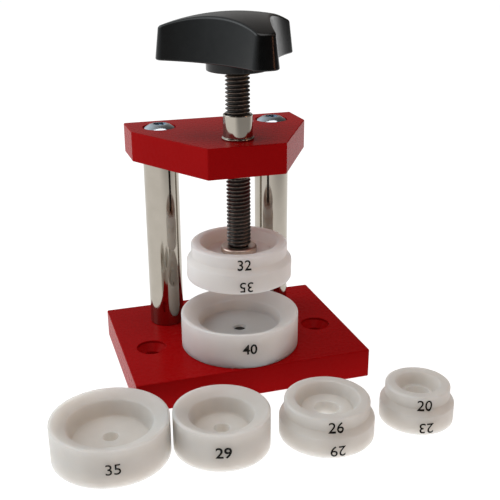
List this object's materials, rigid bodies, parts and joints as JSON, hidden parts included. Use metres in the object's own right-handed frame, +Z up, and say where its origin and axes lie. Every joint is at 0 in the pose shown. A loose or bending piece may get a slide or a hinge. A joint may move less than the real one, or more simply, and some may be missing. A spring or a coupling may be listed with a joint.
{
  "type": "watch case press",
  "caption": "Pillar-framed hand press with a screw spindle, lobed knob, swivelling foot and interchangeable nylon dies for closing watch cases.",
  "frame": {"origin": "on the spindle axis, at the underside of the base plate", "axes": "+Z up along the spindle, +X to the right, -Y towards the open front of the press"},
  "size_m": [0.1233, 0.1018, 0.1205],
  "materials": {
    "red_finish": "satin red lacquer on aluminium plate",
    "nickel": "polished nickel plate",
    "zinc": "bright zinc plate",
    "black_steel": "black oxide, oiled",
    "foot_steel": "dark turned steel",
    "black_plastic": "satin black moulding",
    "brass": "machined brass",
    "rubber": "black nitrile rubber",
    "nylon": "turned natural white nylon, slightly translucent"
  },
  "bodies": {
    "root": {"base_plate": "red_finish", "bridge_plate": "red_finish", "pillar_left": "nickel", "pillar_right": "nickel", "bridge_screw_left": "zinc", "bridge_screw_right": "zinc", "base_screw_left": "zinc", "base_screw_right": "zinc", "spindle_bush": "nickel", "locating_pin": "black_steel"},
    "foot": {"thrust_foot": "foot_steel", "stud_o_ring": "rubber"},
    "spindle": {"spindle": "black_steel", "knob": "black_plastic", "knob_insert": "brass", "pivot_snap_ring": "zinc"},
    "upper_die": {"die_32_35": "nylon"},
    "lower_die": {"die_40": "nylon"},
    "loose_die_35": {"die_35": "nylon"},
    "loose_die_29": {"die_29": "nylon"},
    "loose_die_26_29": {"die_26_29": "nylon"},
    "loose_die_20_23": {"die_20_23": "nylon"}
  },
  "joints": [
    {"name": "screw_travel", "type": "slide", "parent": "root", "child": "foot", "axis": [0, 0, 1], "range_m": [-0.01251, 0.02251]},
    {"name": "screw_turn", "type": "hinge", "parent": "foot", "child": "spindle", "pos_m": [0, 0, 0.1], "axis": [0, 0, 1], "range_deg": [-3600, 6480]},
    {"name": "upper_die_pull", "type": "slide", "parent": "foot", "child": "upper_die", "axis": [0, 0, -1], "range_m": [0, 0.01]},
    {"name": "lower_die_lift", "type": "slide", "parent": "root", "child": "lower_die", "axis": [0, 0, 1], "range_m": [0, 0.012]},
    {"name": "die_35_lift", "type": "slide", "parent": "root", "child": "loose_die_35", "axis": [0, 0, 1], "range_m": [0, 0.03]},
    {"name": "die_29_lift", "type": "slide", "parent": "root", "child": "loose_die_29", "axis": [0, 0, 1], "range_m": [0, 0.03]},
    {"name": "die_26_29_lift", "type": "slide", "parent": "root", "child": "loose_die_26_29", "axis": [0, 0, 1], "range_m": [0, 0.03]},
    {"name": "die_20_23_lift", "type": "slide", "parent": "root", "child": "loose_die_20_23", "axis": [0, 0, 1], "range_m": [0, 0.03]}
  ],
  "couplings": [
    {"joint": "screw_travel", "follows": "screw_turn", "m_per_rad": 0.00019894}
  ]
}
